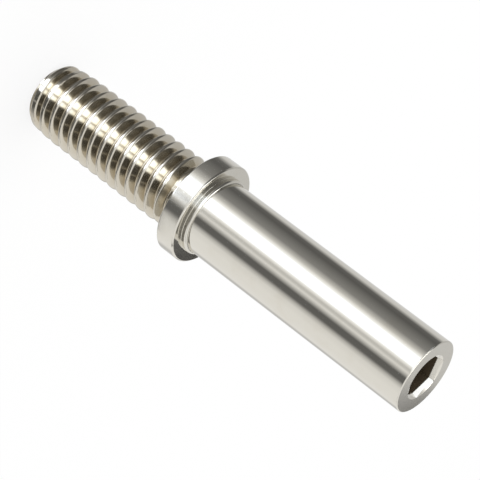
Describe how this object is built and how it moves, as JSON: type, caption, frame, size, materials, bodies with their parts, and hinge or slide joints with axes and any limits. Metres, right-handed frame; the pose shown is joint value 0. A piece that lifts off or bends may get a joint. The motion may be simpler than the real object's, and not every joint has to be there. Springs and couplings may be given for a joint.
{
  "type": "shoulder bolt",
  "caption": "Turned shoulder bolt: threaded stud, collar with a seat face, low step ring and a long ground shank with a hexagon socket in its end.",
  "frame": {"origin": "centre of the collar's seat face, on the thread side of the collar", "axes": "+Z along the bolt's axis, from the seat face up the shank to the socket; the threaded stud hangs below, towards -Z. Two corners of the socket's hexagon lie on the Y axis"},
  "size_m": [0.0082, 0.0082, 0.0374],
  "materials": {
    "steel": "bright polished steel with a warm nickel tone and fine turning lines on the collar and the faces"
  },
  "bodies": {
    "root": {"shoulder_bolt": "steel"}
  },
  "joints": []
}
